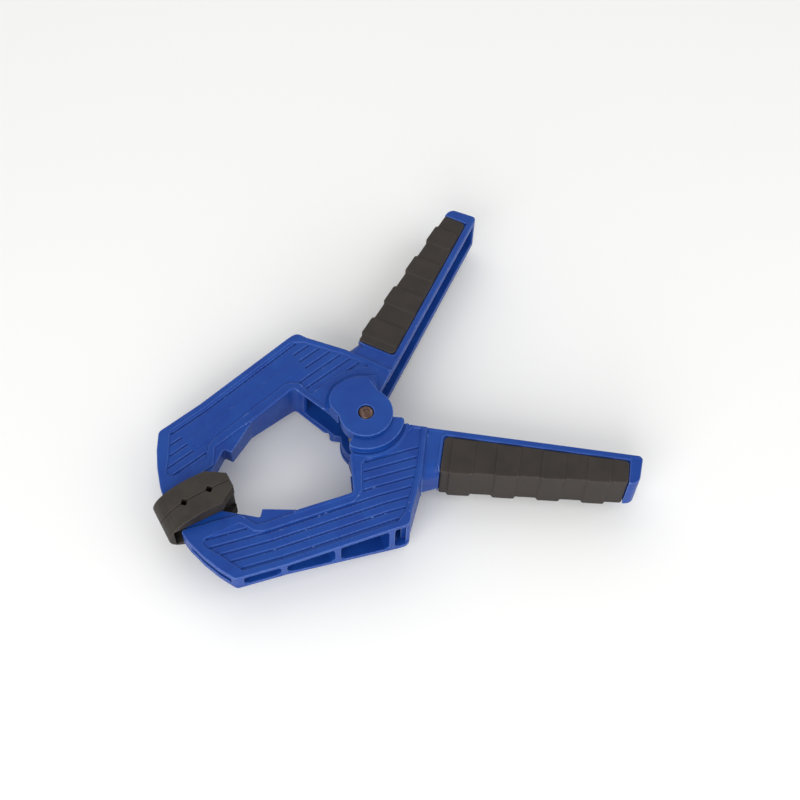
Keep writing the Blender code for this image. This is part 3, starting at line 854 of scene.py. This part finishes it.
left_grip = copy_of("left_grip", "left_grip_sleeve")
remould(left_grip, GRIP_VOXEL, GRIP_PASSES, GRIP_TRIANGLES)
right_grip = turned_over(left_grip, "right_grip_sleeve")
for side, grip in (("left", left_grip), ("right", right_grip)):
    fit(grip, grip_elastomer, f"{side}_side", "grip_rubber", f"{side}_grip")
    even_out(grip)

# %% [markdown]
# ## The jaw pads
#
# A pad is a rounded block that swivels on the arm's tongue.  Its slanted rear corners are open
# slots between thin fins, which let the rubber give.  The slots are cut across the slanted face
# and stop short of the face that grips the work: their floor is measured from the plane where the
# jaws meet, and the pad's own face lies 0.15 mm from that plane.

# %% Two pads
PAD_VOXEL = 0.25
PAD_PASSES = 3
PAD_TRIANGLES = 50_000
SLANT_START = Vector((-81.6, 9.6))
SLANT_END = Vector((-72.8, 4.0))
SLOT_LEVELS = (7.2, 9.85, 12.5)
SLOT_HEIGHT = 1.8
SLOT_FLOOR = 1.9
WALL_BEFORE, WALL_AFTER = 1.4, 1.2
CUTTER_CLEAR = 3.0


def pad_slots():
    along = (SLANT_END - SLANT_START).normalized()
    inward = Vector((along.y, -along.x))
    near, far = SLANT_START + along * WALL_BEFORE, SLANT_END - along * WALL_AFTER
    outline = [tuple(near - inward * CUTTER_CLEAR), tuple(far - inward * CUTTER_CLEAR),
               (far.x, SLOT_FLOOR), (near.x, SLOT_FLOOR)]
    slots = []
    for level in SLOT_LEVELS:
        for middle in (level, -level):
            slots.append(slab(outline, middle - SLOT_HEIGHT / 2, middle + SLOT_HEIGHT / 2))
    return slots


left_pad = copy_of("left_pad", "left_pad_block")
carve(left_pad, pad_slots())
remould(left_pad, PAD_VOXEL, PAD_PASSES, PAD_TRIANGLES)
right_pad = turned_over(left_pad, "right_pad_block")
for side, pad in (("left", left_pad), ("right", right_pad)):
    fit(pad, pad_rubber, f"{side}_jaw_pad", "pad_rubber", f"{side}_pad")
    even_out(pad)

# %% [markdown]
# ## Turned parts
#
# The pins and the sleeve are round, so their meshes are made as a lathe makes its work: a half
# section with chamfers, carried round an axis.  The sizes are read from the working solids' boxes.

# %% Pins and sleeve
def lathe(name, centre, profile, steps=64):
    """Solid of revolution about a vertical axis; the profile is (radius, z) in metres."""
    body = bmesh.new()
    rings = []
    for radius, z in profile:
        if radius == 0:
            rings.append([body.verts.new((centre.x, centre.y, centre.z + z))])
            continue
        angles = [math.tau * step / steps for step in range(steps)]
        rings.append([body.verts.new((centre.x + radius * math.cos(angle),
                                      centre.y + radius * math.sin(angle), centre.z + z))
                      for angle in angles])
    for ring, following in zip(rings, rings[1:]):
        for index in range(steps):
            after = (index + 1) % steps
            if len(ring) == 1:
                body.faces.new([ring[0], following[after], following[index]])
            elif len(following) == 1:
                body.faces.new([ring[index], ring[after], following[0]])
            else:
                body.faces.new([ring[index], ring[after], following[after], following[index]])
    bmesh.ops.recalc_face_normals(body, faces=body.faces[:])
    piece = new_piece(name, body)
    piece.data.shade_smooth()
    piece.data.set_sharp_from_angle(angle=math.radians(30))
    return piece


def pin_profile(radius, half, chamfer, dish):
    """A pin's half section, with chamfered ends and a shallow centre dimple."""
    top = [(radius, half - chamfer), (radius - chamfer * 0.4, half - chamfer * 0.35),
           (radius - chamfer, half), (radius * 0.35, half), (radius * 0.2, half - dish),
           (0, half - dish)]
    return [(r, -z) for r, z in reversed(top)] + top


def pin_from(node, name, chamfer, dish, material, body, slot):
    low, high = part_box(node)
    centre = (low + high) / 2
    size = high - low
    piece = lathe(name, centre, pin_profile(size.x / 2, size.z / 2, chamfer * MM, dish * MM))
    fit(piece, material, body, slot, node)
    print(name, "is", round(size.x / MM, 1), "mm across and", round(size.z / MM, 1), "mm long")


def sleeve_profile(outer, inner, half, chamfer):
    """The sleeve's wall, once round, with its four edges eased."""
    corners = [(inner, 0), (inner, half - chamfer), (inner + chamfer, half), (outer - chamfer, half),
               (outer, half - chamfer), (outer, chamfer - half), (outer - chamfer, -half),
               (inner + chamfer, -half), (inner, chamfer - half), (inner, 0)]
    return corners


SLEEVE_BORE_RADIUS = 4.15
pin_from("pivot_pin", "turned_pivot_pin", 0.5, 0.25, pin_steel, "left_side", "pin_steel")
for side in ("left", "right"):
    pin_from(f"{side}_pad_pin", f"{side}_wire_pin", 0.3, 0.1, spring_wire, f"{side}_side", "spring_steel")
low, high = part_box("spring_sleeve")
sleeve_wall = sleeve_profile((high.x - low.x) / 2, SLEEVE_BORE_RADIUS * MM, (high.z - low.z) / 2, 0.3 * MM)
sleeve = lathe("turned_spring_sleeve", (low + high) / 2, sleeve_wall)
fit(sleeve, sleeve_nylon, "left_side", "sleeve_plastic", "spring_sleeve")

# %% [markdown]
# ## The torsion spring
#
# One length of wire: a leg in the left handle, four turns and more round the sleeve, and a leg in
# the right handle.  Real wire winds up as the clamp opens.  Here it is two pieces that share the
# lowest turn's circle: the coil stays with the left arm and the right leg swings with its own arm,
# so that the join slides along the circle and never shows.

# %% Two lengths of wire
WIRE_RADIUS = 1.25
COIL_RADIUS = 7.7
COIL_HALF = 6.0
COIL_TURNS = 4
SHARED_ARC = math.radians(70)
LEG_REACH = 42.0
LEG_DEPTH = 17.4
POINTS_PER_TURN = 48


def leaving_angle():
    """Where the straight leg leaves the coil, as an angle from +X on the leg's own side."""
    foot = Vector((LEG_REACH, LEG_DEPTH))
    return HANDLE_ANGLE + math.atan2(foot.y, foot.x) + math.acos(COIL_RADIUS / foot.length)


def coil_stretch(start, sweep, level_at):
    steps = round(POINTS_PER_TURN * sweep / math.tau)
    points = []
    for step in range(steps + 1):
        angle = start - sweep * step / steps
        points.append((COIL_RADIUS * math.cos(angle), COIL_RADIUS * math.sin(angle),
                       level_at(sweep * step / steps)))
    return points


def wire(name, path):
    curve = bpy.data.curves.new(name, "CURVE")
    curve.dimensions = "3D"
    curve.bevel_depth = WIRE_RADIUS * MM
    curve.bevel_resolution = 4
    curve.use_fill_caps = True
    spline = curve.splines.new("POLY")
    spline.points.add(len(path) - 1)
    for point, place in zip(spline.points, path):
        point.co = (*(to_world @ Vector(place)), 1)
    piece = bpy.data.objects.new(name, curve)
    bpy.context.collection.objects.link(piece)
    return piece


leaving = leaving_angle()
coil_sweep = math.tau * (COIL_TURNS + 1) - 2 * leaving
foot_x, foot_y = handle_point(LEG_REACH, LEG_DEPTH)


def coil_level(travelled):
    """Flat over the shared arc, and then rising evenly to the top."""
    return COIL_HALF * (2 * max(0.0, travelled - SHARED_ARC) / (coil_sweep - SHARED_ARC) - 1)


coil = wire("spring_coil", coil_stretch(-leaving, coil_sweep, coil_level) + [(foot_x, foot_y, COIL_HALF)])
right_leg = wire("spring_right_leg", [(foot_x, -foot_y, -COIL_HALF)]
                 + coil_stretch(-leaving, SHARED_ARC, lambda travelled: -COIL_HALF))
fit(coil, spring_wire, "left_side", "spring_steel", "torsion_spring")
fit(right_leg, spring_wire, "right_side", "spring_steel", "torsion_spring")
print("coil turns through", round(math.degrees(coil_sweep)), "degrees")
